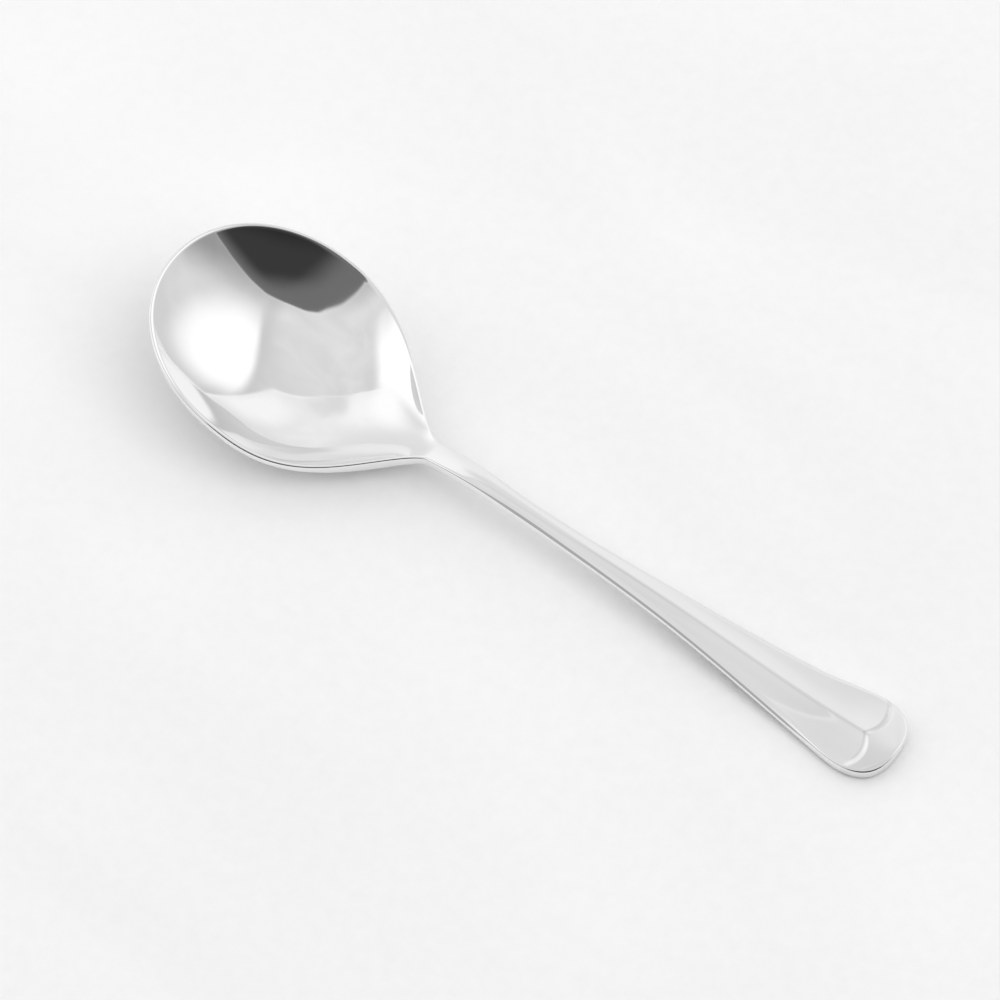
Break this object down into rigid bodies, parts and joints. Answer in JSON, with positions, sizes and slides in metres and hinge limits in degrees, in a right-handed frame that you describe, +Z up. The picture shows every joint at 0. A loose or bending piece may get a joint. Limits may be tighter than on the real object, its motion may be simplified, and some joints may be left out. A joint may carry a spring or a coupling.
{
  "type": "soup spoon",
  "caption": "Soup spoon with a round bowl, a slim neck and a ridged flat handle that widens to a rounded end.",
  "frame": {"origin": "middle of the spoon's outline seen from above, at the height of the table it rests on", "axes": "+X along the length from the bowl to the handle end, +Y across the handle, +Z up out of the bowl"},
  "size_m": [0.175, 0.0484, 0.0214],
  "materials": {
    "steel": "polished"
  },
  "bodies": {
    "root": {"spoon": "steel"}
  },
  "joints": []
}
